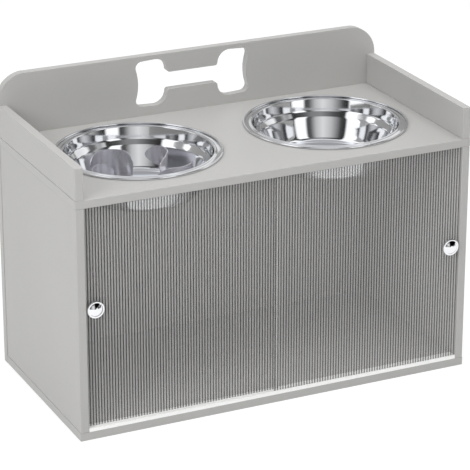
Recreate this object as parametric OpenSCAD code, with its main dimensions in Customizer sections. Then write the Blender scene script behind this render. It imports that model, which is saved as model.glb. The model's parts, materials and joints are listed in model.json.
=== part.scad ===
// Elevated dog feeding station: a laminated cabinet with two bowls let into its top
// and a storage space behind two reeded sliding doors.
// Millimetres, +Z up. The origin is on the floor under the middle of the cabinet,
// the doors face -Y and the back board faces +Y.

/* [Cabinet] */
// Overall width, left to right
cabinet_w = 600; // [580:5:760]
// Overall depth, front edge to the back of the back board
cabinet_d = 300; // [290:5:400]
// Height of the surface that the bowls sit in
feeding_h = 350; // [250:5:480]
// Thickness of every board
board_t = 12; // [11:0.5:18]
// Radius along every board edge
edge_r = 0.8; // [0.3:0.1:1.5]
// How far the side panels and rails sit in from the ends of the other boards
side_inset = 0.6; // [0.1:0.1:2]

/* [Gallery] */
// Height of the back board above the feeding surface
back_rise = 90; // [86:2:160]
// Radius of the back board's upper corners
back_corner_r = 42; // [10:1:60]
// Height of the two side rails
rail_h = 46; // [30:1:80]

/* [Bone cut-out] */
// Height of the bone's centre line above the feeding surface
bone_rise = 48; // [44:1:50]
// Half the thickness of the shaft
shaft_half = 13; // [8:0.5:16]
// Radius of the inner roundness of each knuckle
knuckle_r = 19; // [17:0.5:20]
// Distance from the middle of the bone to the inner roundness
knuckle_x = 59; // [50:1:80]
// Height of the inner roundness above the centre line
knuckle_z = 16; // [14:0.5:18]
// Radius of the outer roundness of each knuckle
tip_r = 9.5; // [7:0.5:11]
// How far the outer roundness lies beyond the inner one
tip_reach = 21; // [16:0.5:26]
// How far the outer roundness lies above the inner one
tip_lift = 8.5; // [6:0.5:9]
// Radius of the shallow hollow in each end
end_hollow_r = 75; // [40:5:120]
// Fillet between a knuckle and the shaft
shaft_fillet_r = 4; // [2:0.5:6]

/* [Bowls] */
// Gap between the rims of the two bowls
rim_gap = 54; // [40:1:80]
// Gap between the rim of a bowl and the rail beside it
rim_side_gap = 22.4; // [18:0.2:32]
// Gap between the rim of a bowl and the front edge of the cabinet
rim_front_gap = 29; // [26:1:40]
// Gap between the rim of a bowl and the back board
rim_back_gap = 21; // [18:1:32]
// Radius of the rolled bead at the rim
bead_r = 1.7; // [1.2:0.1:2.2]
// Width of the flat flange between the bead and the lip
flange_w = 6; // [4:0.5:8]
// Radius of the lip where the flange turns down into the wall
lip_r = 1.6; // [1.2:0.1:2]
// Sheet thickness of the bowls
sheet_t = 0.9; // [0.6:0.1:1.2]
// Height of the upright band under the lip
band_h = 16; // [10:1:20]
// How far the upright band leans in
band_lean = 3; // [1:0.5:5]
// Height of the sloping shoulder under the band
shoulder_h = 8; // [5:1:12]
// How far the shoulder steps in
shoulder_step = 5.5; // [3:0.5:7]
// How far the lower wall leans in below the shoulder
wall_lean = 8; // [4:1:12]
// Radius between the wall and the floor of a bowl
floor_corner_r = 12; // [6:1:16]
// Depth of a bowl, from the feeding surface to the underside of its floor
bowl_depth = 60; // [50:1:75]
// Gap between a bowl's wall and the hole that it hangs in
bowl_play = 1.2; // [0.8:0.1:2]

/* [Slow feeding vanes] */
// Number of vanes in the slow feeding bowl
vane_count = 5; // [3:1:5]
// Thickness of a vane
vane_t = 1.2; // [0.8:0.1:1.6]
// Distance from the edge of the bowl's flat floor to the middle of a vane
vane_wall_gap = 11; // [10:0.5:16]
// Width of a vane at its head, as a share of its distance from the bowl's centre
vane_width_share = 0.91; // [0.75:0.01:0.91]
// Width of a vane at its foot, as a share of its width at the head
vane_foot_share = 0.53; // [0.4:0.01:0.6]
// Radius of the rounded upper corners, as a share of the width at the head
vane_corner_share = 0.25; // [0.16:0.01:0.3]
// Radius of the hollow under the overhanging side, as a share of the width at the head
vane_hollow_share = 0.33; // [0.24:0.01:0.42]
// Radius that a vane is bent to, as a share of its width at the head
vane_bend_share = 0.53; // [0.52:0.01:0.66]
// How far the upright side of a vane leans in at its foot
vane_lean = 2; // [0:0.5:4]
// Depth from the feeding surface to the top of the vanes
vane_drop = 15; // [12:1:22]
// Angle that a vane is turned from facing the bowl's centre
vane_turn = 34; // [24:1:44]
// Angle of the first vane around the bowl
vane_start = 103; // [90:1:120]
// Width of the welded flange at the foot of a vane
vane_flange_w = 6; // [4:0.5:8]

/* [Doors] */
// Thickness of the sheet behind the reeds
door_sheet_t = 2.2; // [1.5:0.1:3]
// Distance from one reed to the next
reed_pitch = 4.2; // [3:0.1:8]
// How far the reeds stand out
reed_h = 1.2; // [0.6:0.1:1.4]
// How far the two closed doors overlap in the middle
door_overlap = 10; // [6:1:20]
// Gap between a closed door and the side panel
door_side_gap = 0.5; // [0.3:0.1:1]
// Play between a door and each wall of its groove
groove_play = 0.45; // [0.3:0.05:0.8]

/* [Tracks] */
// Thickness of the lower track under its grooves
track_base_t = 1.2; // [0.8:0.1:2]
// Depth of the grooves in the lower track
track_groove_d = 4; // [3:0.5:6]
// Thickness of the front wall of the tracks
track_front_t = 1.8; // [1.2:0.1:3]
// Thickness of the other walls of the tracks
track_wall_t = 1.4; // [1:0.1:2]
// Gap at each end of a track
track_end_gap = 0.3; // [0.2:0.1:1]
// Board left above the recess for the upper track
recess_skin = 2.5; // [2:0.5:4]
// Thickness of the upper track above its grooves
upper_base_t = 0.8; // [0.5:0.1:1]
// Play above a door when it is lifted to clear the lower track
lift_play = 0.5; // [0.3:0.1:1]

/* [Knobs] */
// Radius of the knob's rim
knob_r = 12.5; // [10:0.5:13]
// Distance from the side panel to the centre of the knob
knob_inset = 15; // [14:0.5:25]
// Height of the knobs above the floor
knob_rise = 190; // [120:5:220]
// Radius of the knob's neck
knob_neck_r = 7; // [5:0.5:8]
// Length of the knob's neck
knob_neck_h = 3.5; // [2:0.5:6]
// Thickness of the knob's rim
knob_rim_t = 2.6; // [2:0.1:4]
// Radius of the dome on the knob
knob_dome_r = 10; // [8:0.5:10]
// Height of the dome above the rim
knob_dome_h = 4.2; // [2:0.1:6]
// Radius of the knob screw
knob_screw_r = 2; // [1.5:0.25:2.5]
// Depth of the screw hole in a knob
knob_hole_d = 7; // [5:0.5:7.5]
// Radius of the knob screw's head
knob_head_r = 4; // [3:0.25:5]
// Height of the knob screw's head
knob_head_h = 1.6; // [1:0.1:1.8]

/* [Fittings] */
// Clearance around every screw, dowel and cam in its hole
fit = 0.05; // [0.02:0.01:0.1]
// Radius of a wood screw
screw_r = 1.9; // [1.5:0.1:2.2]
// Length of a wood screw
screw_len = 35; // [25:1:40]
// Radius of a wood screw's countersunk head
screw_head_r = 3.8; // [3:0.1:4.5]
// Height of a wood screw's head
screw_head_h = 2.4; // [1.8:0.1:3]
// Length of a wood screw's point
screw_tip_h = 4; // [2:0.5:6]
// Radius of a wooden dowel
dowel_r = 3; // [2.5:0.25:3.5]
// Depth that a dowel reaches into the top or the bottom panel
dowel_short = 7; // [5:0.5:8]
// Depth that a dowel reaches into a side panel or rail
dowel_long = 16; // [12:1:24]
// Radius of a cam lock
cam_r = 6; // [5:0.5:7]
// Board left behind a cam lock
cam_skin = 2.6; // [2:0.2:4]
// Distance from the top of a side panel to the centre of a cam lock
cam_drop = 24; // [18:1:34]
// Radius of the cam bolt's thread
bolt_thread_r = 2.5; // [2:0.25:3]
// Depth of the cam bolt's thread in the top panel
bolt_thread_h = 8; // [6:0.5:8]
// Radius of the cam bolt's shank
bolt_shank_r = 2; // [1.5:0.25:2]
// Radius of the cam bolt's head
bolt_head_r = 2.6; // [2.25:0.05:3]
// Height of the cam bolt's head
bolt_head_h = 2; // [1.5:0.25:2.5]
// Distance from the end of a joint to its first cam lock or screw
end_margin = 45; // [35:1:60]

/* [Hidden] */
$fn = 96;

board_color = [0.73, 0.725, 0.71];
steel_color = [0.80, 0.81, 0.83];
vane_color = [0.58, 0.57, 0.60];
track_color = [0.97, 0.97, 0.97];
reeded_color = [0.60, 0.61, 0.60, 0.75];
zinc_color = [0.66, 0.67, 0.68];
beech_color = [0.80, 0.66, 0.47];

// How far a cut runs past the face that it opens
over = edge_r;

// Boards
panel_d = cabinet_d - board_t;
front_y = -cabinet_d / 2;
back_y = front_y + panel_d;
side_h = feeding_h - 2 * board_t;
side_in_x = cabinet_w / 2 - side_inset - board_t;
side_mid_x = side_in_x + board_t / 2;
under_top_z = feeding_h - board_t;
back_h = feeding_h + back_rise;

// Each bowl lies in the middle of its bay, the space that the gaps round its rim leave
bay_w = side_in_x - rim_side_gap - rim_gap / 2;
bay_d = panel_d - rim_front_gap - rim_back_gap;
rim_r = min(bay_w, bay_d) / 2;
bowl_x = rim_gap / 2 + bay_w / 2;
bowl_y = front_y + rim_front_gap + bay_d / 2;

// Bowls, measured down from the feeding surface
// The lip and the hollow beside it each turn through this angle past upright
lip_a = 40;
flange_in_r = rim_r - 2 * bead_r - flange_w;
wall_top_r = flange_in_r - lip_r * (1 + 2 * cos(lip_a));
lip_z = sheet_t / 2 + lip_r - 2 * lip_r * sin(lip_a);
band_foot_r = wall_top_r - band_lean;
shoulder_foot_r = band_foot_r - shoulder_step;
floor_z = -bowl_depth + sheet_t / 2;
floor_r = shoulder_foot_r - wall_lean - floor_corner_r;
bowl_hole_r = wall_top_r + sheet_t / 2 + bowl_play;

// Vanes, with the left end of the foot measured from the middle of the vane
vane_orbit_r = floor_r - vane_wall_gap;
vane_w = vane_width_share * vane_orbit_r;
vane_foot_w = vane_foot_share * vane_w;
vane_foot_x = -vane_w / 2 + vane_lean;
vane_corner_r = vane_corner_share * vane_w;
vane_hollow_r = vane_hollow_share * vane_w;
vane_bend_r = vane_bend_share * vane_w;

// Tracks and doors
door_t = door_sheet_t + reed_h;
groove_w = door_t + 2 * groove_play;
groove_step = groove_w + track_wall_t;
track_d = track_front_t + groove_step + groove_w + track_wall_t;
track_half = side_in_x - track_end_gap;
track_h = track_base_t + track_groove_d;
recess_d = board_t - recess_skin;
upper_groove_d = recess_d - upper_base_t;
door_foot_z = board_t + track_base_t;
door_top_z = under_top_z + upper_groove_d - track_groove_d - 2 * lift_play;
door_h = door_top_z - door_foot_z;
door_out_x = side_in_x - door_side_gap;
door_w = door_out_x + door_overlap / 2;
front_door_y = front_y + track_front_t + groove_play;
rear_door_y = front_door_y + groove_step;
reed_count = floor(door_w / reed_pitch);
reed_margin = (door_w - reed_count * reed_pitch) / 2;
reed_r = (pow(reed_pitch / 2, 2) + pow(reed_h, 2)) / (2 * reed_h);
knob_x = side_in_x - knob_inset;

// Fittings
cam_h = board_t - cam_skin;
cam_z = under_top_z - cam_drop;
cam_y = panel_d / 2 - end_margin;
panel_mid_y = front_y + panel_d / 2;
dowel_y = cam_y / 2;
rail_dowel_y = cam_y * 0.75;
screw_low_z = board_t + end_margin;
screw_high_z = under_top_z - 1.5 * end_margin;
wide_screw_x = bowl_x + end_margin;

function arc(c, r, from, to, steps) =
    [for (i = [0 : steps]) let (a = from + (to - from) * i / steps) c + r * [cos(a), sin(a)]];

function unit(v) = v / norm(v);

// Square to the left of the line through the neighbours of point i
function side_step(line, i) =
    let (
        last = len(line) - 1,
        along = unit(line[min(i + 1, last)] - line[max(i - 1, 0)])
    ) [-along[1], along[0]];

// Boards with every edge rounded
module rounded_rect(a, b, r) {
    translate([r, 0]) square([a - 2 * r, b]);
    translate([0, r]) square([a, b - 2 * r]);
    for (x = [r, a - r], y = [r, b - r]) translate([x, y]) circle(r);
}

module board(size) {
    intersection() {
        linear_extrude(height = size[2]) rounded_rect(size[0], size[1], edge_r);
        translate([0, size[1], 0]) rotate([90, 0, 0])
            linear_extrude(height = size[1]) rounded_rect(size[0], size[2], edge_r);
        rotate([90, 0, 90]) linear_extrude(height = size[0]) rounded_rect(size[1], size[2], edge_r);
    }
}

// Fittings, each with the space that it takes when grow is its clearance
module wood_screw(grow = 0) {
    rotate_extrude() polygon([
        [0, -grow],
        [screw_head_r + grow, -grow],
        [screw_head_r + grow, 0],
        [screw_r + grow, screw_head_h],
        [screw_r + grow, screw_len - screw_tip_h],
        [0, screw_len + grow]
    ]);
}

module driven_wood_screw() {
    slot_l = screw_head_r;
    slot_w = screw_head_h / 4;
    difference() {
        wood_screw();
        for (a = [0, 90]) rotate([0, 0, a])
            translate([-slot_l / 2, -slot_w / 2, -over]) cube([slot_l, slot_w, screw_head_h / 2 + over]);
    }
}

module dowel(grow = 0) {
    translate([0, 0, -dowel_long - grow])
        cylinder(h = dowel_long + dowel_short + 2 * grow, r = dowel_r + grow);
}

module cam_bolt(grow = 0) {
    translate([0, 0, -grow]) cylinder(h = bolt_thread_h + 2 * grow, r = bolt_thread_r + grow);
    translate([0, 0, -cam_drop]) cylinder(h = cam_drop, r = bolt_shank_r + grow);
    translate([0, 0, -cam_drop - bolt_head_h / 2 - grow])
        cylinder(h = bolt_head_h + 2 * grow, r = bolt_head_r + grow);
}

// Where each kind of fitting stands
module at_sides() {
    for (x = [-side_mid_x, side_mid_x]) translate([x, 0, 0]) children();
}

module at_cams() {
    at_sides() for (s = [-1, 1]) translate([0, panel_mid_y + s * cam_y, under_top_z]) children();
}

module at_top_dowels() {
    at_sides() for (s = [-1, 1]) translate([0, panel_mid_y + s * dowel_y, under_top_z]) children();
}

module at_bottom_dowels() {
    at_sides() for (s = [-1, 1])
        translate([0, panel_mid_y + s * dowel_y, board_t]) rotate([180, 0, 0]) children();
}

module at_rail_dowels() {
    at_sides() for (s = [-1, 1])
        translate([0, panel_mid_y + s * rail_dowel_y, feeding_h]) rotate([180, 0, 0]) children();
}

module at_bottom_screws() {
    at_sides() for (s = [-1, 1]) translate([0, panel_mid_y + s * cam_y, 0]) children();
}

module at_back_screws() {
    screw_mid_z = (screw_low_z + screw_high_z) / 2;
    spots = concat(
        [for (x = [-side_mid_x, side_mid_x], z = [screw_low_z, screw_mid_z, screw_high_z]) [x, z]],
        [for (x = [-side_mid_x, side_mid_x]) [x, feeding_h + rail_h / 2]],
        [for (x = [-wide_screw_x, 0, wide_screw_x], z = [board_t / 2, feeding_h - board_t / 2]) [x, z]]
    );
    for (s = spots) translate([s[0], cabinet_d / 2, s[1]]) rotate([90, 0, 0]) children();
}

// Cabinet
module bottom_panel() {
    color(board_color) difference() {
        translate([-cabinet_w / 2, front_y, 0]) board([cabinet_w, panel_d, board_t]);
        at_bottom_dowels() dowel(fit);
        at_bottom_screws() wood_screw(fit);
        at_back_screws() wood_screw(fit);
    }
}

module side_panel(x) {
    color(board_color) difference() {
        translate([x, front_y, board_t]) board([board_t, panel_d, side_h]);
        at_top_dowels() dowel(fit);
        at_bottom_dowels() dowel(fit);
        at_bottom_screws() wood_screw(fit);
        at_back_screws() wood_screw(fit);
        at_cams() cam_bolt(fit);
        at_cam_locks() cam_body(fit);
    }
}

module left_side_panel() {
    side_panel(-side_in_x - board_t);
}

module right_side_panel() {
    side_panel(side_in_x);
}

module top_panel() {
    color(board_color) difference() {
        translate([-cabinet_w / 2, front_y, under_top_z]) board([cabinet_w, panel_d, board_t]);
        for (x = [-bowl_x, bowl_x]) translate([x, bowl_y, under_top_z - over])
            cylinder(h = board_t + 2 * over, r = bowl_hole_r);
        translate([-side_in_x, front_y + track_front_t, under_top_z - over])
            cube([2 * side_in_x, track_d - track_front_t, recess_d + over]);
        at_top_dowels() dowel(fit);
        at_rail_dowels() dowel(fit);
        at_cams() cam_bolt(fit);
        at_back_screws() wood_screw(fit);
    }
}

module rail(x) {
    color(board_color) difference() {
        translate([x, front_y, feeding_h]) board([board_t, panel_d, rail_h]);
        at_rail_dowels() dowel(fit);
        at_back_screws() wood_screw(fit);
    }
}

module left_rail() {
    rail(-side_in_x - board_t);
}

module right_rail() {
    rail(side_in_x);
}

// Outline of the back board: square at the foot, rounded at the upper corners
module back_outline() {
    half = cabinet_w / 2;
    shoulder = half - back_corner_r;
    translate([-half, 0]) square([cabinet_w, back_h - back_corner_r]);
    translate([-shoulder, 0]) square([2 * shoulder, back_h]);
    for (s = [-1, 1]) translate([s * shoulder, back_h - back_corner_r]) circle(back_corner_r);
}

// The bone is symmetric both ways. One quarter runs from the shaft, round the fillet, the
// knuckle and its tip, into the hollow of the end
function bone_quarter() =
    let (
        knuckle = [knuckle_x, knuckle_z],
        tip = knuckle + [tip_reach, tip_lift],
        fillet_z = shaft_half + shaft_fillet_r,
        fillet_reach = sqrt(pow(knuckle_r + shaft_fillet_r, 2) - pow(fillet_z - knuckle_z, 2)),
        fillet = [knuckle_x - fillet_reach, fillet_z],
        fillet_a = atan2(knuckle_z - fillet_z, knuckle_x - fillet[0]),
        brow_a = atan2(tip_lift, tip_reach) + acos((knuckle_r - tip_r) / norm(tip - knuckle)),
        hollow = [tip[0] + sqrt(pow(end_hollow_r + tip_r, 2) - pow(tip[1], 2)), 0],
        hollow_a = -atan2(tip[1], hollow[0] - tip[0])
    ) concat(
        arc(fillet, shaft_fillet_r, -90, fillet_a, 6),
        arc(knuckle, knuckle_r, 180 + fillet_a, brow_a, 14),
        arc(tip, tip_r, brow_a, hollow_a, 14),
        arc(hollow, end_hollow_r, 180 + hollow_a, 180, 4)
    );

module bone_outline() {
    quarter = bone_quarter();
    last = len(quarter) - 1;
    polygon(concat(
        quarter,
        [for (i = [last - 1 : -1 : 0]) [quarter[i][0], -quarter[i][1]]],
        [for (p = quarter) -p],
        [for (i = [last - 1 : -1 : 0]) [-quarter[i][0], quarter[i][1]]]
    ));
}

module back_board() {
    color(board_color) difference() {
        intersection() {
            translate([0, cabinet_d / 2, 0]) rotate([90, 0, 0])
                linear_extrude(height = board_t) back_outline();
            translate([-cabinet_w / 2, back_y, 0]) rotate([90, 0, 90])
                linear_extrude(height = cabinet_w) rounded_rect(board_t, back_h, edge_r);
        }
        translate([0, cabinet_d / 2 + over, feeding_h + bone_rise]) rotate([90, 0, 0])
            linear_extrude(height = board_t + 2 * over) bone_outline();
        at_back_screws() wood_screw(fit);
    }
}

// Tracks, drawn as a section from the front wall backwards
module track_section(base_t, groove_d, front_t) {
    square([track_d, base_t]);
    square([front_t, base_t + groove_d]);
    translate([track_front_t + groove_w, 0]) square([track_wall_t, base_t + groove_d]);
    translate([track_d - track_wall_t, 0]) square([track_wall_t, base_t + groove_d]);
}

module lower_track() {
    color(track_color) translate([-track_half, front_y, board_t]) rotate([90, 0, 90])
        linear_extrude(height = 2 * track_half) track_section(track_base_t, track_groove_d, track_front_t);
}

// The upper track lies in the recess behind the top panel's front lip
module upper_track() {
    color(track_color) difference() {
        translate([-track_half, front_y, under_top_z + recess_d]) mirror([0, 0, 1]) rotate([90, 0, 90])
            linear_extrude(height = 2 * track_half)
                track_section(upper_base_t, upper_groove_d, track_front_t);
        translate([-cabinet_w / 2, front_y - over, under_top_z - over])
            cube([cabinet_w, track_front_t + over, board_t]);
    }
}

// A reeded sheet: round reeds on the front of a flat sheet
module reeded_door(x, y, knob_at) {
    color(reeded_color) difference() {
        translate([x, y, door_foot_z]) linear_extrude(height = door_h) {
            translate([0, reed_h]) square([door_w, door_sheet_t]);
            intersection() {
                square([door_w, door_t]);
                for (i = [0 : reed_count - 1])
                    translate([reed_margin + (i + 0.5) * reed_pitch, reed_r]) circle(reed_r);
            }
        }
        translate([knob_at, y + door_t + over, knob_rise]) rotate([90, 0, 0])
            cylinder(h = door_t + 2 * over, r = knob_screw_r + fit);
    }
}

module left_door() {
    reeded_door(-door_out_x, rear_door_y, -knob_x);
}

module right_door() {
    reeded_door(door_out_x - door_w, front_door_y, knob_x);
}

// Domed knob: neck, flared rim and dome, with a blind screw hole in its back
module knob(x, y) {
    rim_z = knob_neck_h + knob_rim_t;
    dome_r = (pow(knob_dome_r, 2) + pow(knob_dome_h, 2)) / (2 * knob_dome_h);
    dome_a = asin(knob_dome_r / dome_r);
    half_rim = knob_rim_t / 2;
    profile = concat(
        [[0, 0], [knob_neck_r + half_rim, 0], [knob_neck_r, half_rim]],
        [[knob_neck_r, knob_neck_h - half_rim / 2]],
        arc([knob_r - half_rim, knob_neck_h + half_rim], half_rim, -90, 90, 12),
        arc([0, rim_z + knob_dome_h - dome_r], dome_r, 90 - dome_a, 90, 12)
    );
    color(steel_color) translate([x, y, knob_rise]) rotate([90, 0, 0]) difference() {
        rotate_extrude() polygon(profile);
        translate([0, 0, -over]) cylinder(h = knob_hole_d + over, r = knob_screw_r + fit);
    }
}

module left_knob() {
    knob(-knob_x, rear_door_y);
}

module right_knob() {
    knob(knob_x, front_door_y);
}

module knob_screw(x, y) {
    slot_w = knob_head_h / 2;
    color(zinc_color) translate([x, y, knob_rise]) rotate([90, 0, 0]) difference() {
        union() {
            cylinder(h = door_t + knob_hole_d - fit, r = knob_screw_r);
            translate([0, 0, -knob_head_h]) cylinder(h = knob_head_h, r = knob_head_r);
        }
        translate([-knob_head_r, -slot_w / 2, -knob_head_h - over])
            cube([2 * knob_head_r, slot_w, slot_w + over]);
    }
}

module left_knob_screw() {
    knob_screw(-knob_x, rear_door_y + door_t);
}

module right_knob_screw() {
    knob_screw(knob_x, front_door_y + door_t);
}

// Half section of a drawn bowl, as the middle line of its sheet
function bowl_line() =
    let (
        corner_z = floor_z + floor_corner_r,
        wall_foot = [floor_r + floor_corner_r, corner_z],
        shoulder_foot = [shoulder_foot_r, -band_h - shoulder_h],
        belly = wall_lean / 4,
        lip_c = [wall_top_r + lip_r, lip_z],
        dip_c = lip_c + 2 * lip_r * [cos(lip_a), sin(lip_a)]
    ) concat(
        [[0, floor_z]],
        arc([floor_r, corner_z], floor_corner_r, -90, 0, 8),
        [for (i = [1 : 6]) let (s = i / 6)
            wall_foot + (shoulder_foot - wall_foot) * s + [belly * sin(180 * s), 0]],
        [[band_foot_r, -band_h]],
        arc(lip_c, lip_r, 180, lip_a, 10),
        [for (p = arc(dip_c, lip_r, 180 + lip_a, 270, 5)) if (p[0] > lip_c[0] + lip_r) p],
        [[rim_r - bead_r, sheet_t / 2]]
    );

// Both faces of the sheet, joined round the bead that ends it
function bowl_outline() =
    let (
        line = bowl_line(),
        last = len(line) - 1,
        bead_c = [rim_r - bead_r, bead_r],
        bead_foot_a = 180 + asin((bead_r - sheet_t) / bead_r)
    ) concat(
        [for (i = [0 : last - 1]) line[i] + side_step(line, i) * sheet_t / 2],
        arc(bead_c, bead_r, bead_foot_a, -90, 24),
        [for (i = [last - 1 : -1 : 0]) line[i] - side_step(line, i) * sheet_t / 2]
    );

module bowl(x) {
    color(steel_color) translate([x, bowl_y, feeding_h]) rotate_extrude() polygon(bowl_outline());
}

module slow_feeder_bowl() {
    bowl(-bowl_x);
}

module plain_bowl() {
    bowl(bowl_x);
}

// One vane: a bent plate with an upright side and an overhanging side, narrow at its foot
module vane_outline(h) {
    head_x = vane_w / 2 - vane_corner_r;
    head_z = h - vane_corner_r;
    foot_end_x = vane_foot_x + vane_foot_w;
    hollow_x = foot_end_x + vane_hollow_r;
    hollow_z = head_z - sqrt(pow(vane_corner_r + vane_hollow_r, 2) - pow(hollow_x - head_x, 2));
    fall = atan2(hollow_z - head_z, hollow_x - head_x);
    rise = asin(min(hollow_z, 0) / vane_hollow_r);
    polygon(concat(
        [[vane_foot_x, 0]],
        hollow_z > 0 ? [[foot_end_x, 0]] : [],
        arc([hollow_x, hollow_z], vane_hollow_r, 180 + rise, 180 + fall, 10),
        arc([head_x, head_z], vane_corner_r, fall, 90, 20),
        arc([-head_x, head_z], vane_corner_r, 90, 180, 12)
    ));
}

// The flange lies inside the bend, from the middle of the sheet inwards, a sheet short at each end
module vane_flange() {
    reach = 2 * vane_bend_r;
    from = asin((vane_foot_x + vane_t) / vane_bend_r);
    to = asin((vane_foot_x + vane_foot_w - vane_t) / vane_bend_r);
    linear_extrude(height = vane_t) intersection() {
        difference() {
            circle(vane_bend_r);
            circle(vane_bend_r - vane_flange_w);
        }
        polygon([[0, 0], reach * [cos(from), sin(from)], reach * [cos(to), sin(to)]]);
    }
}

module vane() {
    h = bowl_depth - sheet_t - vane_drop;
    translate([-vane_bend_r, 0, 0]) {
        intersection() {
            difference() {
                cylinder(h = h, r = vane_bend_r + vane_t / 2);
                translate([0, 0, -over]) cylinder(h = h + 2 * over, r = vane_bend_r - vane_t / 2);
            }
            rotate([90, 0, 90]) linear_extrude(height = 2 * vane_bend_r) vane_outline(h);
        }
        vane_flange();
    }
}

module feeder_vanes() {
    color(vane_color) translate([-bowl_x, bowl_y, feeding_h - bowl_depth + sheet_t])
        for (i = [0 : vane_count - 1]) rotate([0, 0, vane_start + i * 360 / vane_count])
            translate([vane_orbit_r, 0, 0]) rotate([0, 0, -vane_turn]) vane();
}

// Cam locks lie in the inner faces of the side panels and turn about X
module at_cam_locks() {
    for (s = [-1, 1]) mirror([s < 0 ? 1 : 0, 0, 0]) for (t = [-1, 1])
        translate([side_in_x, panel_mid_y + t * cam_y, cam_z]) rotate([0, 90, 0]) children();
}

module cam_body(grow = 0) {
    translate([0, 0, -grow]) cylinder(h = cam_h + grow, r = cam_r + grow);
}

module cam_lock() {
    slot_w = cam_h / 8;
    difference() {
        cylinder(h = cam_h - fit, r = cam_r);
        translate([0, 0, board_t / 2]) rotate([0, 90, 0]) {
            translate([0, 0, -cam_r - over]) cylinder(h = cam_r + over, r = bolt_shank_r + fit);
            translate([0, 0, -bolt_head_h / 2 - fit])
                cylinder(h = bolt_head_h + 2 * fit, r = bolt_head_r + fit);
        }
        for (a = [45, 135]) rotate([0, 0, a])
            translate([-cam_r / 2, -slot_w / 2, -over]) cube([cam_r, slot_w, slot_w + over]);
    }
}

module cam_locks() {
    color(zinc_color) at_cam_locks() cam_lock();
}

module cam_bolts() {
    color(zinc_color) at_cams() cam_bolt();
}

module panel_dowels() {
    color(beech_color) {
        at_top_dowels() dowel();
        at_bottom_dowels() dowel();
    }
}

module rail_dowels() {
    color(beech_color) at_rail_dowels() dowel();
}

module bottom_screws() {
    color(zinc_color) at_bottom_screws() driven_wood_screw();
}

module back_screws() {
    color(zinc_color) at_back_screws() driven_wood_screw();
}

bottom_panel();
left_side_panel();
right_side_panel();
top_panel();
back_board();
left_rail();
right_rail();
lower_track();
upper_track();
left_door();
right_door();
left_knob();
right_knob();
left_knob_screw();
right_knob_screw();
slow_feeder_bowl();
feeder_vanes();
plain_bowl();
cam_locks();
cam_bolts();
panel_dowels();
rail_dowels();
bottom_screws();
back_screws();
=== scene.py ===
"""The looks of an elevated dog feeding station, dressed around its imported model. Metres, +Z up."""
import json
import math

import bmesh
import bpy
from mathutils import Euler, Matrix, Vector


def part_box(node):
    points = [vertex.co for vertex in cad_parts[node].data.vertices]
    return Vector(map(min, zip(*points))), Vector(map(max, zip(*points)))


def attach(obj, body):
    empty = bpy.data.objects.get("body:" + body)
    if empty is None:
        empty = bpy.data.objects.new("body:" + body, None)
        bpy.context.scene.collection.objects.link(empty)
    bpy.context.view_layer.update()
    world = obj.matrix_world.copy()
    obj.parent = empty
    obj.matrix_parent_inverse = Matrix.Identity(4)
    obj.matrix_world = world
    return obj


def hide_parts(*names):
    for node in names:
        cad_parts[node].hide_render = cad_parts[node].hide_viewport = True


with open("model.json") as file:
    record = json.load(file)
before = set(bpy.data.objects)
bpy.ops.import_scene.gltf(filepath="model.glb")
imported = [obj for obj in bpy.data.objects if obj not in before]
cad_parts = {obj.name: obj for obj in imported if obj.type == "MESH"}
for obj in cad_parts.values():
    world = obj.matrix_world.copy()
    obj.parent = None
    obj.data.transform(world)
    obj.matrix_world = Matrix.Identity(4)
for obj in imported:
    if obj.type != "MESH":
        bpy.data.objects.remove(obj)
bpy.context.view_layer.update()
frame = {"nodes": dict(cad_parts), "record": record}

# Distances under which two points of a mesh are one, and a cut runs through a point
same_point = 1e-6
same_cut = 1e-7

# Drawn sheet of the bowls. The bead's last rounding ends just before the end of its line.
sheet_t = 0.0009
bead_r = 0.0017
bead_end_share = 0.98
flange_w = 0.006
lip_w = 0.0041
lip_h = 0.0017
band_h = 0.016
band_lean = 0.003
shoulder_h = 0.008
shoulder_step = 0.0055
wall_foot_r = 0.085
wall_belly = 0.0005
foot_rounding = 0.0085
belly_rounding = 0.0055
shoulder_rounding = 0.0016
lip_rounding = 0.0012
flange_rounding = 0.0008
bowl_steps = 192

# Vanes of the slow feeding bowl
vane_count = 5
vane_t = 0.0012
vane_lean = 0.002
vane_orbit_r = 0.06605
vane_w = 0.91 * vane_orbit_r
vane_foot_w = 0.53 * vane_w
vane_corner_r = 0.25 * vane_w
vane_hollow_r = 0.33 * vane_w
vane_bend_r = 0.53 * vane_w
vane_turn = math.radians(34)
vane_start = math.radians(103)
vane_flange_w = 0.006
vane_slices = 30
vane_edge_w = 0.0003
vane_fold = math.radians(50)

# Doors
reed_pitch = 0.0042
reed_h = 0.0012
reed_steps = 8

# Knobs
knob_steps = 96
knob_neck_r = 0.007
knob_neck_rounding = 0.0006
knob_neck_h = 0.0035
knob_rim_t = 0.0026
knob_dome_r = 0.010
knob_dome_steps = 16

# Stage
floor_half_w = 4
floor_drop = 0.0004
card_z = 0.34
card_corners_left = ((-0.28, -0.16), (-0.28, -2.0), (-0.02, -2.0), (-0.02, -0.16))
card_corners_right = ((0.27, -0.16), (0.27, -2.0), (1.0, -2.0), (1.0, -0.16))
camera_place = (-1.38126, -2.93645, 1.47163)
camera_down = math.radians(21.395)
camera_turn = math.radians(25.244)


# Mesh helpers
def placed(bm, name):
    """Turns a bmesh into an object of the scene."""
    mesh = bpy.data.meshes.new(name)
    bm.to_mesh(mesh)
    bm.free()
    thing = bpy.data.objects.new(name, mesh)
    bpy.context.scene.collection.objects.link(thing)
    return thing


def finished(bm, name, body, node, sharp=math.radians(35)):
    """Turns a bmesh into a smooth-shaded piece that stands for a CAD node."""
    piece = placed(bm, name)
    piece.data.polygons.foreach_set("use_smooth", [True] * len(piece.data.polygons))
    piece.data.set_sharp_from_angle(angle=sharp)
    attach(piece, body)
    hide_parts(node)
    return piece


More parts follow.
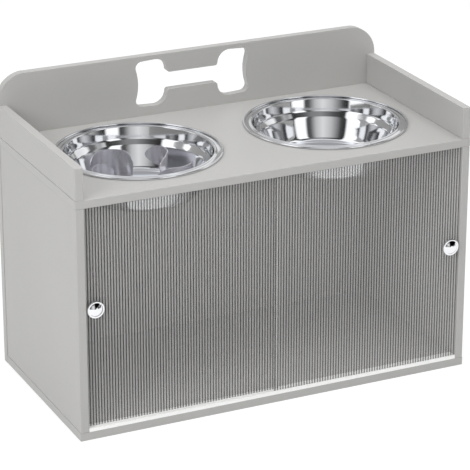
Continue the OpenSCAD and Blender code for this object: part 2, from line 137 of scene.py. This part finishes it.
def rounded_line(bm, corners, segments=6):
    """A line of edges in the XZ plane through (x, z, rounding) corners."""
    verts = [bm.verts.new((x, 0, z)) for x, z, _ in corners]
    for a, b in zip(verts, verts[1:]):
        bm.edges.new((a, b))
    for vert, (_, _, rounding) in zip(verts, corners):
        if rounding:
            bmesh.ops.bevel(
                bm, geom=[vert], offset=rounding, offset_type="OFFSET", segments=segments,
                profile=0.5, affect="VERTICES", material=-1,
            )


def spun(bm, steps):
    """Spins what the bmesh holds round the Z axis into a closed skin."""
    bmesh.ops.spin(
        bm, geom=bm.verts[:] + bm.edges[:], cent=(0, 0, 0), axis=(0, 0, 1),
        angle=math.tau, steps=steps, use_merge=True,
    )
    bmesh.ops.remove_doubles(bm, verts=bm.verts, dist=same_point)
    bmesh.ops.recalc_face_normals(bm, faces=bm.faces)


def thicken(piece, thickness, even=False):
    """Gives a skin the thickness of its sheet, half of it to each side."""
    sheet = piece.modifiers.new("sheet", "SOLIDIFY")
    sheet.thickness = thickness
    sheet.offset = 0
    sheet.use_even_offset = even


def points(geometry):
    """The vertices in what a bmesh operator gave back."""
    return [g for g in geometry if isinstance(g, bmesh.types.BMVert)]


# Pieces
def bowl(name, node, body):
    """A drawn bowl: floor, leaning wall, shoulder, upright band, lip, flange and rolled rim."""
    low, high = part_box(node)
    rim_r = (high.x - low.x) / 2
    deck_z = high.z - 2 * bead_r
    mid = sheet_t / 2
    curl = bead_r - mid
    bead_x = rim_r - bead_r
    bead_in_x = bead_x - curl
    bead_out_x = bead_x + curl
    bead_top_z = mid + 2 * curl
    flange_x = bead_x - bead_r - flange_w
    band_top_r = flange_x - lip_w
    band_foot_r = band_top_r - band_lean
    shoulder_foot_r = band_foot_r - shoulder_step
    floor_z = low.z - deck_z + mid
    shoulder_z = -band_h - shoulder_h
    belly_x = (wall_foot_r + shoulder_foot_r) / 2 + wall_belly
    bm = bmesh.new()
    rounded_line(bm, [
        (0, floor_z, 0),
        (wall_foot_r, floor_z, foot_rounding),
        (belly_x, (floor_z + shoulder_z) / 2, belly_rounding),
        (shoulder_foot_r, shoulder_z, shoulder_rounding),
        (band_foot_r, -band_h, shoulder_rounding),
        (band_top_r, lip_h, lip_rounding),
        (band_top_r + lip_w / 2, lip_h, flange_rounding),
        (flange_x, mid, flange_rounding),
        (bead_out_x, mid, curl),
        (bead_out_x, bead_top_z, curl),
        (bead_in_x, bead_top_z, curl * bead_end_share),
        (bead_in_x, mid + curl, 0),
    ])
    spun(bm, bowl_steps)
    bmesh.ops.translate(bm, verts=bm.verts, vec=((low.x + high.x) / 2, (low.y + high.y) / 2, deck_z))
    piece = finished(bm, name, body, node)
    thicken(piece, sheet_t)
    return piece


def vane_plate(bm, height):
    """A flat vane and its foot flange: X across, Z up, the flange towards -Y."""
    half = vane_w / 2
    foot_x = -half + vane_lean
    foot_end_x = foot_x + vane_foot_w
    head_x = half - vane_corner_r
    head_z = height - vane_corner_r
    hollow_x = foot_end_x + vane_hollow_r
    hollow_z = head_z - math.sqrt((vane_corner_r + vane_hollow_r) ** 2 - (hollow_x - head_x) ** 2)
    fall = math.atan2(hollow_z - head_z, hollow_x - head_x)
    rise = math.pi + math.asin(hollow_z / vane_hollow_r)

    def arc(x, z, r, start, end, steps):
        """Vertices along an arc round (x, z)."""
        turns = [start + (end - start) * i / steps for i in range(steps + 1)]
        return [bm.verts.new((x + r * math.cos(a), 0, z + r * math.sin(a))) for a in turns]

    rim = [bm.verts.new((foot_x, 0, 0))]
    rim += arc(hollow_x, hollow_z, vane_hollow_r, rise, math.pi + fall, steps=8)
    rim += arc(head_x, head_z, vane_corner_r, fall, math.pi / 2, steps=16)
    rim += arc(-head_x, head_z, vane_corner_r, math.pi / 2, math.pi, steps=12)
    bm.faces.new(rim)
    for i in range(1, vane_slices):
        bmesh.ops.bisect_plane(
            bm, geom=bm.verts[:] + bm.edges[:] + bm.faces[:], dist=same_cut,
            plane_co=(-half + vane_w * i / vane_slices, 0, 0), plane_no=(1, 0, 0),
        )
    foot = [e for e in bm.edges if all(v.co.z < same_point for v in e.verts)]
    flange = bmesh.ops.extrude_edge_only(bm, edges=foot)["geom"]
    bmesh.ops.translate(bm, verts=points(flange), vec=(0, -vane_flange_w, 0))


def vanes(name, node, body, bowl_node):
    """Five bent plates that stand on the floor of the slow feeding bowl."""
    low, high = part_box(node)
    rim_low, rim_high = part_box(bowl_node)
    centre = Vector(((rim_low.x + rim_high.x) / 2, (rim_low.y + rim_high.y) / 2, low.z + vane_t / 2))
    bm = bmesh.new()
    vane_plate(bm, high.z - low.z - vane_t / 2)
    for vert in bm.verts:
        turn = math.asin(max(-1, min(1, vert.co.x / vane_bend_r)))
        radius = vane_bend_r + vert.co.y
        vert.co.x, vert.co.y = radius * math.cos(turn) - vane_bend_r, radius * math.sin(turn)
    bmesh.ops.rotate(bm, verts=bm.verts, cent=(0, 0, 0), matrix=Matrix.Rotation(-vane_turn, 3, "Z"))
    bmesh.ops.translate(bm, verts=bm.verts, vec=(vane_orbit_r, 0, 0))
    bmesh.ops.rotate(bm, verts=bm.verts, cent=(0, 0, 0), matrix=Matrix.Rotation(vane_start, 3, "Z"))
    first = bm.verts[:] + bm.edges[:] + bm.faces[:]
    for i in range(1, vane_count):
        copy = bmesh.ops.duplicate(bm, geom=first)["geom"]
        turn = Matrix.Rotation(math.tau * i / vane_count, 3, "Z")
        bmesh.ops.rotate(bm, verts=points(copy), cent=(0, 0, 0), matrix=turn)
    bmesh.ops.translate(bm, verts=bm.verts, vec=centre)
    piece = finished(bm, name, body, node, vane_fold)
    thicken(piece, vane_t, even=True)
    edges = piece.modifiers.new("edges", "BEVEL")
    edges.width = vane_edge_w
    edges.segments = 2
    edges.limit_method = "ANGLE"
    edges.angle_limit = vane_fold
    edges.harden_normals = True
    return piece


def reeded_door(name, node, body):
    """A flat sheet with round reeds on its front, all in one moulding."""
    low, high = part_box(node)
    width = high.x - low.x
    count = int(width / reed_pitch)
    margin = (width - count * reed_pitch) / 2
    reed_r = ((reed_pitch / 2) ** 2 + reed_h ** 2) / (2 * reed_h)
    valley_y = low.y + reed_h
    centre = Vector((low.x + margin + reed_pitch / 2, low.y + reed_r, low.z))
    sweep = 2 * math.asin(reed_pitch / 2 / reed_r)
    bm = bmesh.new()
    start = bm.verts.new((low.x + margin, valley_y, low.z))
    bmesh.ops.spin(bm, geom=[start], cent=centre, axis=(0, 0, 1), angle=sweep, steps=reed_steps)
    first = bm.verts[:] + bm.edges[:]
    for i in range(1, count):
        copy = bmesh.ops.duplicate(bm, geom=first)["geom"]
        bmesh.ops.translate(bm, verts=points(copy), vec=(reed_pitch * i, 0, 0))
    for end_x, reed_x in ((low.x, low.x + margin), (high.x, high.x - margin)):
        outer = bm.verts.new((end_x, valley_y, low.z))
        inner = bm.verts.new((reed_x, valley_y, low.z))
        bm.edges.new((outer, inner))
    bmesh.ops.remove_doubles(bm, verts=bm.verts, dist=same_point)

    def pulled(edges, move, flat_y=None):
        """Extrudes a row of edges by move, and lines its new edges up at flat_y."""
        made = bmesh.ops.extrude_edge_only(bm, edges=edges)["geom"]
        verts = points(made)
        bmesh.ops.translate(bm, verts=verts, vec=move)
        if flat_y is not None:
            for vert in verts:
                vert.co.y = flat_y
        new_edges = [g for g in made if isinstance(g, bmesh.types.BMEdge)]
        return [e for e in new_edges if all(v in verts for v in e.verts)]

    up = Vector((0, 0, high.z - low.z))
    front = bm.edges[:]
    top = pulled(front, up)
    back = pulled(top, (0, 0, 0), high.y)
    foot = pulled(back, -up)
    bmesh.ops.bridge_loops(bm, edges=foot + front)
    open_edges = [e for e in bm.edges if e.is_boundary]
    bmesh.ops.holes_fill(bm, edges=open_edges, sides=0)
    bmesh.ops.recalc_face_normals(bm, faces=bm.faces)
    return finished(bm, name, body, node)


def knob(name, node, body):
    """A turned knob: neck, rounded rim and round dome, with its back on the door."""
    low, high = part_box(node)
    rim_r = (high.x - low.x) / 2
    depth = high.y - low.y
    face = knob_neck_h + knob_rim_t
    rim_rounding = knob_rim_t * 0.45
    dome_h = depth - face
    ball_r = (knob_dome_r ** 2 + dome_h ** 2) / (2 * dome_h)
    half_turn = math.asin(knob_dome_r / ball_r)
    dome = []
    for step in range(knob_dome_steps + 1):
        tilt = half_turn * (1 - step / knob_dome_steps)
        dome.append((ball_r * math.sin(tilt), depth - ball_r * (1 - math.cos(tilt)), 0))
    bm = bmesh.new()
    rounded_line(bm, [
        (0, 0, 0),
        (knob_neck_r + knob_rim_t / 2, 0, 0),
        (knob_neck_r, knob_rim_t / 2, knob_neck_rounding),
        (knob_neck_r, knob_neck_h, knob_neck_rounding),
        (rim_r, knob_neck_h, rim_rounding),
        (rim_r, face, rim_rounding),
        *dome,
    ])
    spun(bm, knob_steps)
    turn = Matrix.Rotation(math.pi / 2, 4, "X")
    place = Matrix.Translation(((low.x + high.x) / 2, high.y, (low.z + high.z) / 2)) @ turn
    bmesh.ops.transform(bm, matrix=place, verts=bm.verts)
    return finished(bm, name, body, node)


bowl_piece = bowl("plain_bowl_shell", "plain_bowl", "water_bowl")
feeder_piece = bowl("slow_feeder_shell", "slow_feeder_bowl", "slow_feeder")
vane_piece = vanes("slow_feeder_vanes", "feeder_vanes", "slow_feeder", "slow_feeder_bowl")
left_door_piece = reeded_door("left_reeded_sheet", "left_door", "left_sliding_door")
right_door_piece = reeded_door("right_reeded_sheet", "right_door", "right_sliding_door")
left_knob_piece = knob("left_turned_knob", "left_knob", "left_sliding_door")
right_knob_piece = knob("right_turned_knob", "right_knob", "right_sliding_door")


# Shader helpers
def feed(links, value, socket):
    """Links one socket to another, or sets a constant on it."""
    if isinstance(value, bpy.types.NodeSocket):
        links.new(value, socket)
    else:
        socket.default_value = value


def calculated(tree, operation, first, second=0):
    """What a maths node makes of two values, each a socket or a constant."""
    node = tree.nodes.new("ShaderNodeMath")
    node.operation = operation
    feed(tree.links, first, node.inputs[0])
    feed(tree.links, second, node.inputs[1])
    return node.outputs[0]


def blend(tree, kind, factor, first, second):
    """FLOAT values or RGBA colours mixed, each a socket or a constant."""
    mix = tree.nodes.new("ShaderNodeMix")
    mix.data_type = kind
    feed(tree.links, factor, mix.inputs["Factor"])
    feed(tree.links, first, mix.inputs["A"])
    feed(tree.links, second, mix.inputs["B"])
    return mix.outputs["Result"]


def ramped(tree, value, start, end, low=0, high=1):
    """A value mapped from start..end to low..high."""
    node = tree.nodes.new("ShaderNodeMapRange")
    node.inputs["From Min"].default_value = start
    node.inputs["From Max"].default_value = end
    node.inputs["To Min"].default_value = low
    node.inputs["To Max"].default_value = high
    tree.links.new(value, node.inputs["Value"])
    return node.outputs["Result"]


def either_shader(tree, factor, first, second):
    """The first shader where the factor is 0, and the second where it is 1."""
    mix = tree.nodes.new("ShaderNodeMixShader")
    tree.links.new(factor, mix.inputs[0])
    tree.links.new(first, mix.inputs[1])
    tree.links.new(second, mix.inputs[2])
    return mix.outputs[0]


def new_group(name, inputs, outputs):
    """A node group with a vector input, float inputs {name: value} and float outputs."""
    group = bpy.data.node_groups.new(name, "ShaderNodeTree")
    group.interface.new_socket("Vector", in_out="INPUT", socket_type="NodeSocketVector")
    for key, value in inputs.items():
        socket = group.interface.new_socket(key, in_out="INPUT", socket_type="NodeSocketFloat")
        socket.default_value = value
    for key in outputs:
        group.interface.new_socket(key, in_out="OUTPUT", socket_type="NodeSocketFloat")
    return group, group.nodes.new("NodeGroupInput"), group.nodes.new("NodeGroupOutput")


def fine_grain_group():
    """Fine surface grain with a slow drift of tone, as on laminate, moulded plastic and satin metal."""
    group, given, result = new_group(
        "fine_grain", {"Grain Scale": 900.0, "Drift Scale": 4.0}, ("Grain", "Drift")
    )
    for key, detail in (("Grain", 3.0), ("Drift", 2.0)):
        noise = group.nodes.new("ShaderNodeTexNoise")
        noise.inputs["Detail"].default_value = detail
        group.links.new(given.outputs["Vector"], noise.inputs["Vector"])
        group.links.new(given.outputs[f"{key} Scale"], noise.inputs["Scale"])
        group.links.new(noise.outputs["Fac"], result.inputs[key])
    return group


def lathe_marks_group():
    """Faint rings round Z, as polishing leaves them on a spun or turned surface."""
    group, given, result = new_group("lathe_marks", {"Ring Scale": 1500.0}, ("Rings",))
    split = group.nodes.new("ShaderNodeSeparateXYZ")
    flat = group.nodes.new("ShaderNodeCombineXYZ")
    reach = group.nodes.new("ShaderNodeVectorMath")
    reach.operation = "LENGTH"
    rings = group.nodes.new("ShaderNodeTexNoise")
    rings.noise_dimensions = "1D"
    rings.inputs["Detail"].default_value = 4.0
    group.links.new(given.outputs["Vector"], split.inputs[0])
    group.links.new(split.outputs["X"], flat.inputs["X"])
    group.links.new(split.outputs["Y"], flat.inputs["Y"])
    group.links.new(flat.outputs[0], reach.inputs[0])
    slant = calculated(group, "ADD", reach.outputs["Value"], split.outputs["Z"])
    group.links.new(slant, rings.inputs["W"])
    group.links.new(given.outputs["Ring Scale"], rings.inputs["Scale"])
    group.links.new(rings.outputs["Fac"], result.inputs["Rings"])
    return group


def reed_valleys_group():
    """Valley: 1 between upright reeds, 0 on their crests. Reeded Face: 1 on the side before Y = 0."""
    group, given, result = new_group("reed_valleys", {"Pitch": reed_pitch}, ("Valley", "Reeded Face"))
    split = group.nodes.new("ShaderNodeSeparateXYZ")
    group.links.new(given.outputs["Vector"], split.inputs[0])
    reeds = calculated(group, "DIVIDE", split.outputs["X"], given.outputs["Pitch"])
    share = calculated(group, "FRACT", reeds)
    from_crest = calculated(group, "ABSOLUTE", calculated(group, "SUBTRACT", share, 0.5))
    valley = calculated(group, "MULTIPLY", from_crest, 2)
    face = calculated(group, "LESS_THAN", split.outputs["Y"], 0)
    group.links.new(calculated(group, "MULTIPLY", valley, face), result.inputs["Valley"])
    group.links.new(face, result.inputs["Reeded Face"])
    return group


fine_grain = fine_grain_group()
lathe_marks = lathe_marks_group()
reed_valleys = reed_valleys_group()


class Finish:
    """One material: a Principled shader whose maps come from groups on Object coordinates."""

    def __init__(self, name, color, roughness, metallic=0.0, centre=(0, 0, 0), tilt=(0, 0, 0)):
        self.material = bpy.data.materials.new(name)
        self.material.use_nodes = True
        self.tree = self.material.node_tree
        self.shader = self.tree.nodes["Principled BSDF"]
        self.shader.inputs["Base Color"].default_value = (*color, 1)
        self.shader.inputs["Roughness"].default_value = roughness
        self.shader.inputs["Metallic"].default_value = metallic
        self.color, self.roughness = color, roughness
        coordinates = self.tree.nodes.new("ShaderNodeTexCoord")
        self.mapping = self.tree.nodes.new("ShaderNodeMapping")
        self.mapping.inputs["Location"].default_value = [-c for c in centre]
        self.mapping.inputs["Rotation"].default_value = tilt
        self.tree.links.new(coordinates.outputs["Object"], self.mapping.inputs["Vector"])

    def group(self, group, **values):
        """The outputs of a node group with these inputs, on the piece's own coordinates."""
        node = self.tree.nodes.new("ShaderNodeGroup")
        node.node_tree = group
        for key, value in values.items():
            node.inputs[key.replace("_", " ")].default_value = value
        self.tree.links.new(self.mapping.outputs[0], node.inputs["Vector"])
        return node.outputs

    def spread(self, mask, low, high):
        """The mask mapped from its middle range to low..high."""
        return ramped(self.tree, mask, 0.3, 0.7, low, high)

    def tone(self, mask, amount):
        """Base colour that darkens and lightens a little with the mask."""
        dark = [c * (1 - amount) for c in self.color]
        light = [min(1, c * (1 + amount)) for c in self.color]
        toned = blend(self.tree, "RGBA", self.spread(mask, 0, 1), (*dark, 1), (*light, 1))
        self.tree.links.new(toned, self.shader.inputs["Base Color"])

    def rough(self, mask, amount):
        """Roughness that varies with the mask by this amount to either side."""
        varied = self.spread(mask, self.roughness - amount, self.roughness + amount)
        self.tree.links.new(varied, self.shader.inputs["Roughness"])

    def bump(self, mask, distance, strength):
        """Relief of this depth in metres."""
        node = self.tree.nodes.new("ShaderNodeBump")
        node.inputs["Strength"].default_value = strength
        node.inputs["Distance"].default_value = distance
        self.tree.links.new(mask, node.inputs["Height"])
        self.tree.links.new(node.outputs["Normal"], self.shader.inputs["Normal"])

    def dress(self, *pieces):
        """Puts the material on these pieces."""
        for piece in pieces:
            piece.data.materials.clear()
            piece.data.materials.append(self.material)


def middle(node):
    """The middle of a CAD node's box, where its axis runs."""
    low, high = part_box(node)
    return (low + high) / 2


# Finishes
def laminate():
    """Pale grey laminate of all boards."""
    finish = Finish("pale_grey_laminate", (0.445, 0.440, 0.430), roughness=0.42)
    grain = finish.group(fine_grain, Grain_Scale=700.0, Drift_Scale=5.0)
    finish.tone(grain["Drift"], 0.02)
    finish.rough(grain["Grain"], 0.05)
    finish.bump(grain["Grain"], distance=0.00003, strength=0.35)
    return finish


def polished_steel(name, node):
    """Mirror-bright drawn steel of a bowl, with its polishing rings."""
    finish = Finish(name, (0.79, 0.80, 0.82), roughness=0.07, metallic=1.0, centre=middle(node))
    marks = finish.group(lathe_marks, Ring_Scale=1800.0)
    finish.tone(marks["Rings"], 0.015)
    finish.rough(marks["Rings"], 0.02)
    finish.bump(marks["Rings"], distance=0.00001, strength=0.2)
    return finish


def satin_steel():
    """Matt grey steel of the vanes."""
    finish = Finish("satin_steel", (0.69, 0.68, 0.725), roughness=0.25, metallic=0.75)
    grain = finish.group(fine_grain, Grain_Scale=1200.0, Drift_Scale=20.0)
    finish.tone(grain["Drift"], 0.015)
    finish.rough(grain["Grain"], 0.02)
    return finish


def white_plastic():
    """White moulded plastic of the tracks."""
    finish = Finish("white_track_plastic", (0.97, 0.97, 0.96), roughness=0.3)
    grain = finish.group(fine_grain, Grain_Scale=500.0, Drift_Scale=8.0)
    finish.tone(grain["Drift"], 0.015)
    finish.rough(grain["Grain"], 0.05)
    return finish


def reeded_plastic(name, node):
    """See-through sheet, hazier in the valleys between its reeds, with painted shade there: its colour
    goes to near black in the valleys.
    """
    low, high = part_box(node)
    margin = (high.x - low.x) % reed_pitch / 2
    middle_y = (low.y + reed_h + high.y) / 2
    finish = Finish(name, (0.92, 0.92, 0.905), roughness=0.14, centre=(low.x + margin, middle_y, 0))
    finish.shader.inputs["IOR"].default_value = 1.49
    tree = finish.tree
    reeds = finish.group(reed_valleys, Pitch=reed_pitch)
    reeded_haze = finish.spread(reeds["Valley"], 0.25, 0.68)
    haze = blend(tree, "FLOAT", reeds["Reeded Face"], 0.05, reeded_haze)
    path = tree.nodes.new("ShaderNodeLightPath").outputs
    lighting = calculated(tree, "MAXIMUM", path["Is Shadow Ray"], path["Is Diffuse Ray"])
    tree.links.new(blend(tree, "FLOAT", lighting, haze, 0.1), finish.shader.inputs["Alpha"])
    # Painted shade: the colour goes near black in the valleys between the reeds, for the shading of
    # their flanks
    shade = finish.spread(reeds["Valley"], 0, 1)
    painted_valley_shade = blend(tree, "RGBA", shade, (*finish.color, 1), (0.02, 0.02, 0.02, 1))
    tree.links.new(painted_valley_shade, finish.shader.inputs["Base Color"])
    grain = finish.group(fine_grain, Grain_Scale=400.0, Drift_Scale=6.0)
    finish.rough(grain["Grain"], 0.02)
    return finish


def bright_plate(name, node):
    """Bright plating of a knob, with its turning rings round Y."""
    finish = Finish(
        name, (0.84, 0.85, 0.87), roughness=0.06, metallic=1.0,
        centre=middle(node), tilt=(math.pi / 2, 0, 0),
    )
    marks = finish.group(lathe_marks, Ring_Scale=4000.0)
    finish.rough(marks["Rings"], 0.015)
    finish.tone(marks["Rings"], 0.01)
    return finish


def zinc_plate():
    """Dull zinc of screws, bolts and cams."""
    finish = Finish("zinc_plate", (0.56, 0.57, 0.58), roughness=0.38, metallic=0.95)
    grain = finish.group(fine_grain, Grain_Scale=1500.0, Drift_Scale=120.0)
    finish.tone(grain["Drift"], 0.08)
    finish.rough(grain["Grain"], 0.08)
    return finish


def beech():
    """Beech of the dowels, with its grain drawn out along Z."""
    finish = Finish("beech_wood", (0.56, 0.38, 0.22), roughness=0.6)
    finish.mapping.inputs["Scale"].default_value = (1, 1, 0.08)
    grain = finish.group(fine_grain, Grain_Scale=1400.0, Drift_Scale=300.0)
    finish.tone(grain["Drift"], 0.15)
    finish.bump(grain["Grain"], distance=0.00005, strength=0.5)
    return finish


cad = frame["nodes"]
slots = {entry["node"]: entry["material_slot"] for entry in frame["record"]["subparts"]}


def carried(slot):
    """The CAD pieces whose material slot this is."""
    return [cad[name] for name, its_slot in slots.items() if its_slot == slot]


laminate().dress(*carried("laminate"))
white_plastic().dress(*carried("white_track"))
zinc_plate().dress(*carried("zinc"))
beech().dress(*carried("beech"))
polished_steel("polished_steel_plain", "plain_bowl").dress(bowl_piece, cad["plain_bowl"])
polished_steel("polished_steel_feeder", "slow_feeder_bowl").dress(feeder_piece, cad["slow_feeder_bowl"])
satin_steel().dress(vane_piece, cad["feeder_vanes"])
reeded_plastic("grey_reeded_plastic_left", "left_door").dress(left_door_piece, cad["left_door"])
reeded_plastic("grey_reeded_plastic_right", "right_door").dress(right_door_piece, cad["right_door"])
bright_plate("bright_plate_left", "left_knob").dress(left_knob_piece, cad["left_knob"])
bright_plate("bright_plate_right", "right_knob").dress(right_knob_piece, cad["right_knob"])


# Stage
def plain_shader(tree, kind, value, socket="Color"):
    """A shader with one constant set on it."""
    node = tree.nodes.new(kind)
    node.inputs[socket].default_value = value
    return node.outputs[0]


def pale_floor():
    """A floor that lights the object as a pale grey one, and itself shows almost white."""
    material = bpy.data.materials.new("pale_floor")
    material.use_nodes = True
    tree = material.node_tree
    tree.nodes.clear()
    plain = plain_shader(tree, "ShaderNodeBsdfDiffuse", (0.78, 0.78, 0.78, 1))
    shown = plain_shader(tree, "ShaderNodeBsdfDiffuse", (0.3, 0.3, 0.3, 1))
    glow = plain_shader(tree, "ShaderNodeEmission", 0.78, "Strength")
    added = tree.nodes.new("ShaderNodeAddShader")
    tree.links.new(shown, added.inputs[0])
    tree.links.new(glow, added.inputs[1])
    path = tree.nodes.new("ShaderNodeLightPath").outputs
    mirrored = calculated(tree, "MAXIMUM", path["Is Camera Ray"], path["Is Glossy Ray"])
    seen = calculated(tree, "MAXIMUM", mirrored, path["Is Transmission Ray"])
    output = tree.nodes.new("ShaderNodeOutputMaterial")
    tree.links.new(either_shader(tree, seen, plain, added.outputs[0]), output.inputs["Surface"])
    bm = bmesh.new()
    bmesh.ops.create_grid(bm, x_segments=1, y_segments=1, size=floor_half_w)
    bmesh.ops.translate(bm, verts=bm.verts, vec=(0, 0, -floor_drop))
    floor = placed(bm, "floor")
    floor.data.materials.append(material)


def dark_card(name, corners):
    """A level black card that only mirroring surfaces below it see."""
    paint = bpy.data.materials.new(name)
    paint.use_nodes = True
    tree = paint.node_tree
    tree.nodes.clear()
    black = plain_shader(tree, "ShaderNodeBsdfDiffuse", (0, 0, 0, 1))
    clear = tree.nodes.new("ShaderNodeBsdfTransparent").outputs[0]
    side = tree.nodes.new("ShaderNodeNewGeometry").outputs["Backfacing"]
    output = tree.nodes.new("ShaderNodeOutputMaterial")
    tree.links.new(either_shader(tree, side, clear, black), output.inputs["Surface"])
    bm = bmesh.new()
    bm.faces.new([bm.verts.new((x, y, card_z)) for x, y in corners])
    thing = placed(bm, name)
    thing.data.materials.append(paint)
    thing.visible_camera = False
    thing.visible_diffuse = False
    thing.visible_transmission = False
    thing.visible_shadow = False


# Panels of the studio, as seen from the object: azimuth in degrees from +X towards +Y, and brightness
eye_level_panels = [
    (0, 0.9), (13, 0.9), (24, 0.35), (50, 1.0), (90, 0.7), (132, 0.35), (141, 1.3), (160, 1.3),
    (164, 0.4), (177, 0.4), (181, 1.3), (203, 1.3), (207, 0.02), (215, 0.08), (233, 0.6), (247, 0.85),
    (259, 0.6), (269, 0.12), (275, 0.06), (279, 1.3), (296, 1.3), (300, 0.02), (308, 0.1), (324, 0.5),
    (331, 0.15), (339, 0.15), (345, 1.1), (360, 0.9),
]
upper_panels = [
    (0, 0.05), (6, 0.05), (12, 0.6), (60, 0.7), (140, 0.5), (150, 0.4), (158, 1.3), (200, 1.3),
    (204, 0.02), (226, 0.1), (252, 0.3), (270, 0.25), (288, 0.1), (308, 0.03), (312, 1.3), (330, 1.3),
    (334, 0.04), (360, 0.05),
]


def round_panels(tree, share, panels):
    """The panels round the horizon as one colour over the azimuth's share of a turn."""
    wall = tree.nodes.new("ShaderNodeValToRGB")
    ramp = wall.color_ramp.elements
    for place, light in sorted(((azimuth / 360 + 0.5) % 1, light) for azimuth, light in panels[:-1]):
        element = ramp.new(place)
        element.color = (light, light, light, 1)
    ramp.remove(ramp[0])
    ramp.remove(ramp[len(ramp) - 1])
    tree.links.new(share, wall.inputs["Fac"])
    return wall.outputs["Color"]


def studio_world():
    """White behind the object; metal sees a room of light and dark panels under a pale ceiling."""
    world = bpy.data.worlds.new("studio")
    bpy.context.scene.world = world
    world.use_nodes = True
    tree = world.node_tree
    soft = tree.nodes["Background"]
    soft.inputs["Color"].default_value = (0.55, 0.55, 0.55, 1)
    white = plain_shader(tree, "ShaderNodeBackground", (1, 1, 1, 1))
    room = tree.nodes.new("ShaderNodeBackground")
    split = tree.nodes.new("ShaderNodeSeparateXYZ")
    direction = tree.nodes.new("ShaderNodeTexCoord").outputs["Generated"]
    tree.links.new(direction, split.inputs[0])
    height = split.outputs["Z"]
    azimuth = calculated(tree, "ARCTAN2", split.outputs["Y"], split.outputs["X"])
    share = ramped(tree, azimuth, -math.pi, math.pi)
    walls = blend(
        tree, "RGBA", ramped(tree, height, 0.60, 0.66),
        round_panels(tree, share, eye_level_panels), round_panels(tree, share, upper_panels),
    )
    cove = blend(tree, "RGBA", ramped(tree, height, 0.84, 0.88), walls, (1.15, 1.17, 1.22, 1))
    whole = blend(tree, "RGBA", ramped(tree, height, 0.90, 0.95), cove, (0.5, 0.5, 0.51, 1))
    tree.links.new(whole, room.inputs["Color"])
    path = tree.nodes.new("ShaderNodeLightPath").outputs
    lit = either_shader(tree, path["Is Glossy Ray"], soft.outputs[0], room.outputs[0])
    seen = calculated(tree, "MAXIMUM", path["Is Camera Ray"], path["Is Transmission Ray"])
    surface = tree.nodes["World Output"].inputs["Surface"]
    tree.links.new(either_shader(tree, seen, lit, white), surface)


def panel_light(name, place, aim, size, power):
    """A lamp panel at place that faces aim; metal doesn't mirror it."""
    lamp = bpy.data.lights.new(name, "AREA")
    lamp.shape = "RECTANGLE"
    lamp.size, lamp.size_y = size
    lamp.energy = power
    thing = bpy.data.objects.new(name, lamp)
    thing.location = place
    thing.rotation_euler = (Vector(aim) - Vector(place)).to_track_quat("-Z", "Y").to_euler()
    thing.visible_glossy = False
    bpy.context.scene.collection.objects.link(thing)


def camera():
    """The photograph's view, for a square picture."""
    lens = bpy.data.cameras.new("camera")
    lens.sensor_width = 36
    lens.lens = 185.84
    lens.clip_start = 0.05
    lens.clip_end = 50
    thing = bpy.data.objects.new("camera", lens)
    thing.location = camera_place
    thing.rotation_euler = Euler((math.pi / 2 - camera_down, 0, -camera_turn))
    bpy.context.scene.collection.objects.link(thing)
    bpy.context.scene.camera = thing


pale_floor()
dark_card("dark_card_left", card_corners_left)
dark_card("dark_card_right", card_corners_right)
studio_world()
panel_light("overhead", place=(0.1, -0.5, 2.6), aim=(0, 0, 0.3), size=(2.2, 1.6), power=35)
panel_light("key", place=(-2.3, -1.3, 1.6), aim=(0, 0, 0.2), size=(1.2, 1.2), power=31)
panel_light("fill", place=(0.5, -3.0, 1.0), aim=(0, 0, 0.2), size=(1.4, 1.4), power=3)
camera()
bpy.context.scene.view_settings.view_transform = "Standard"
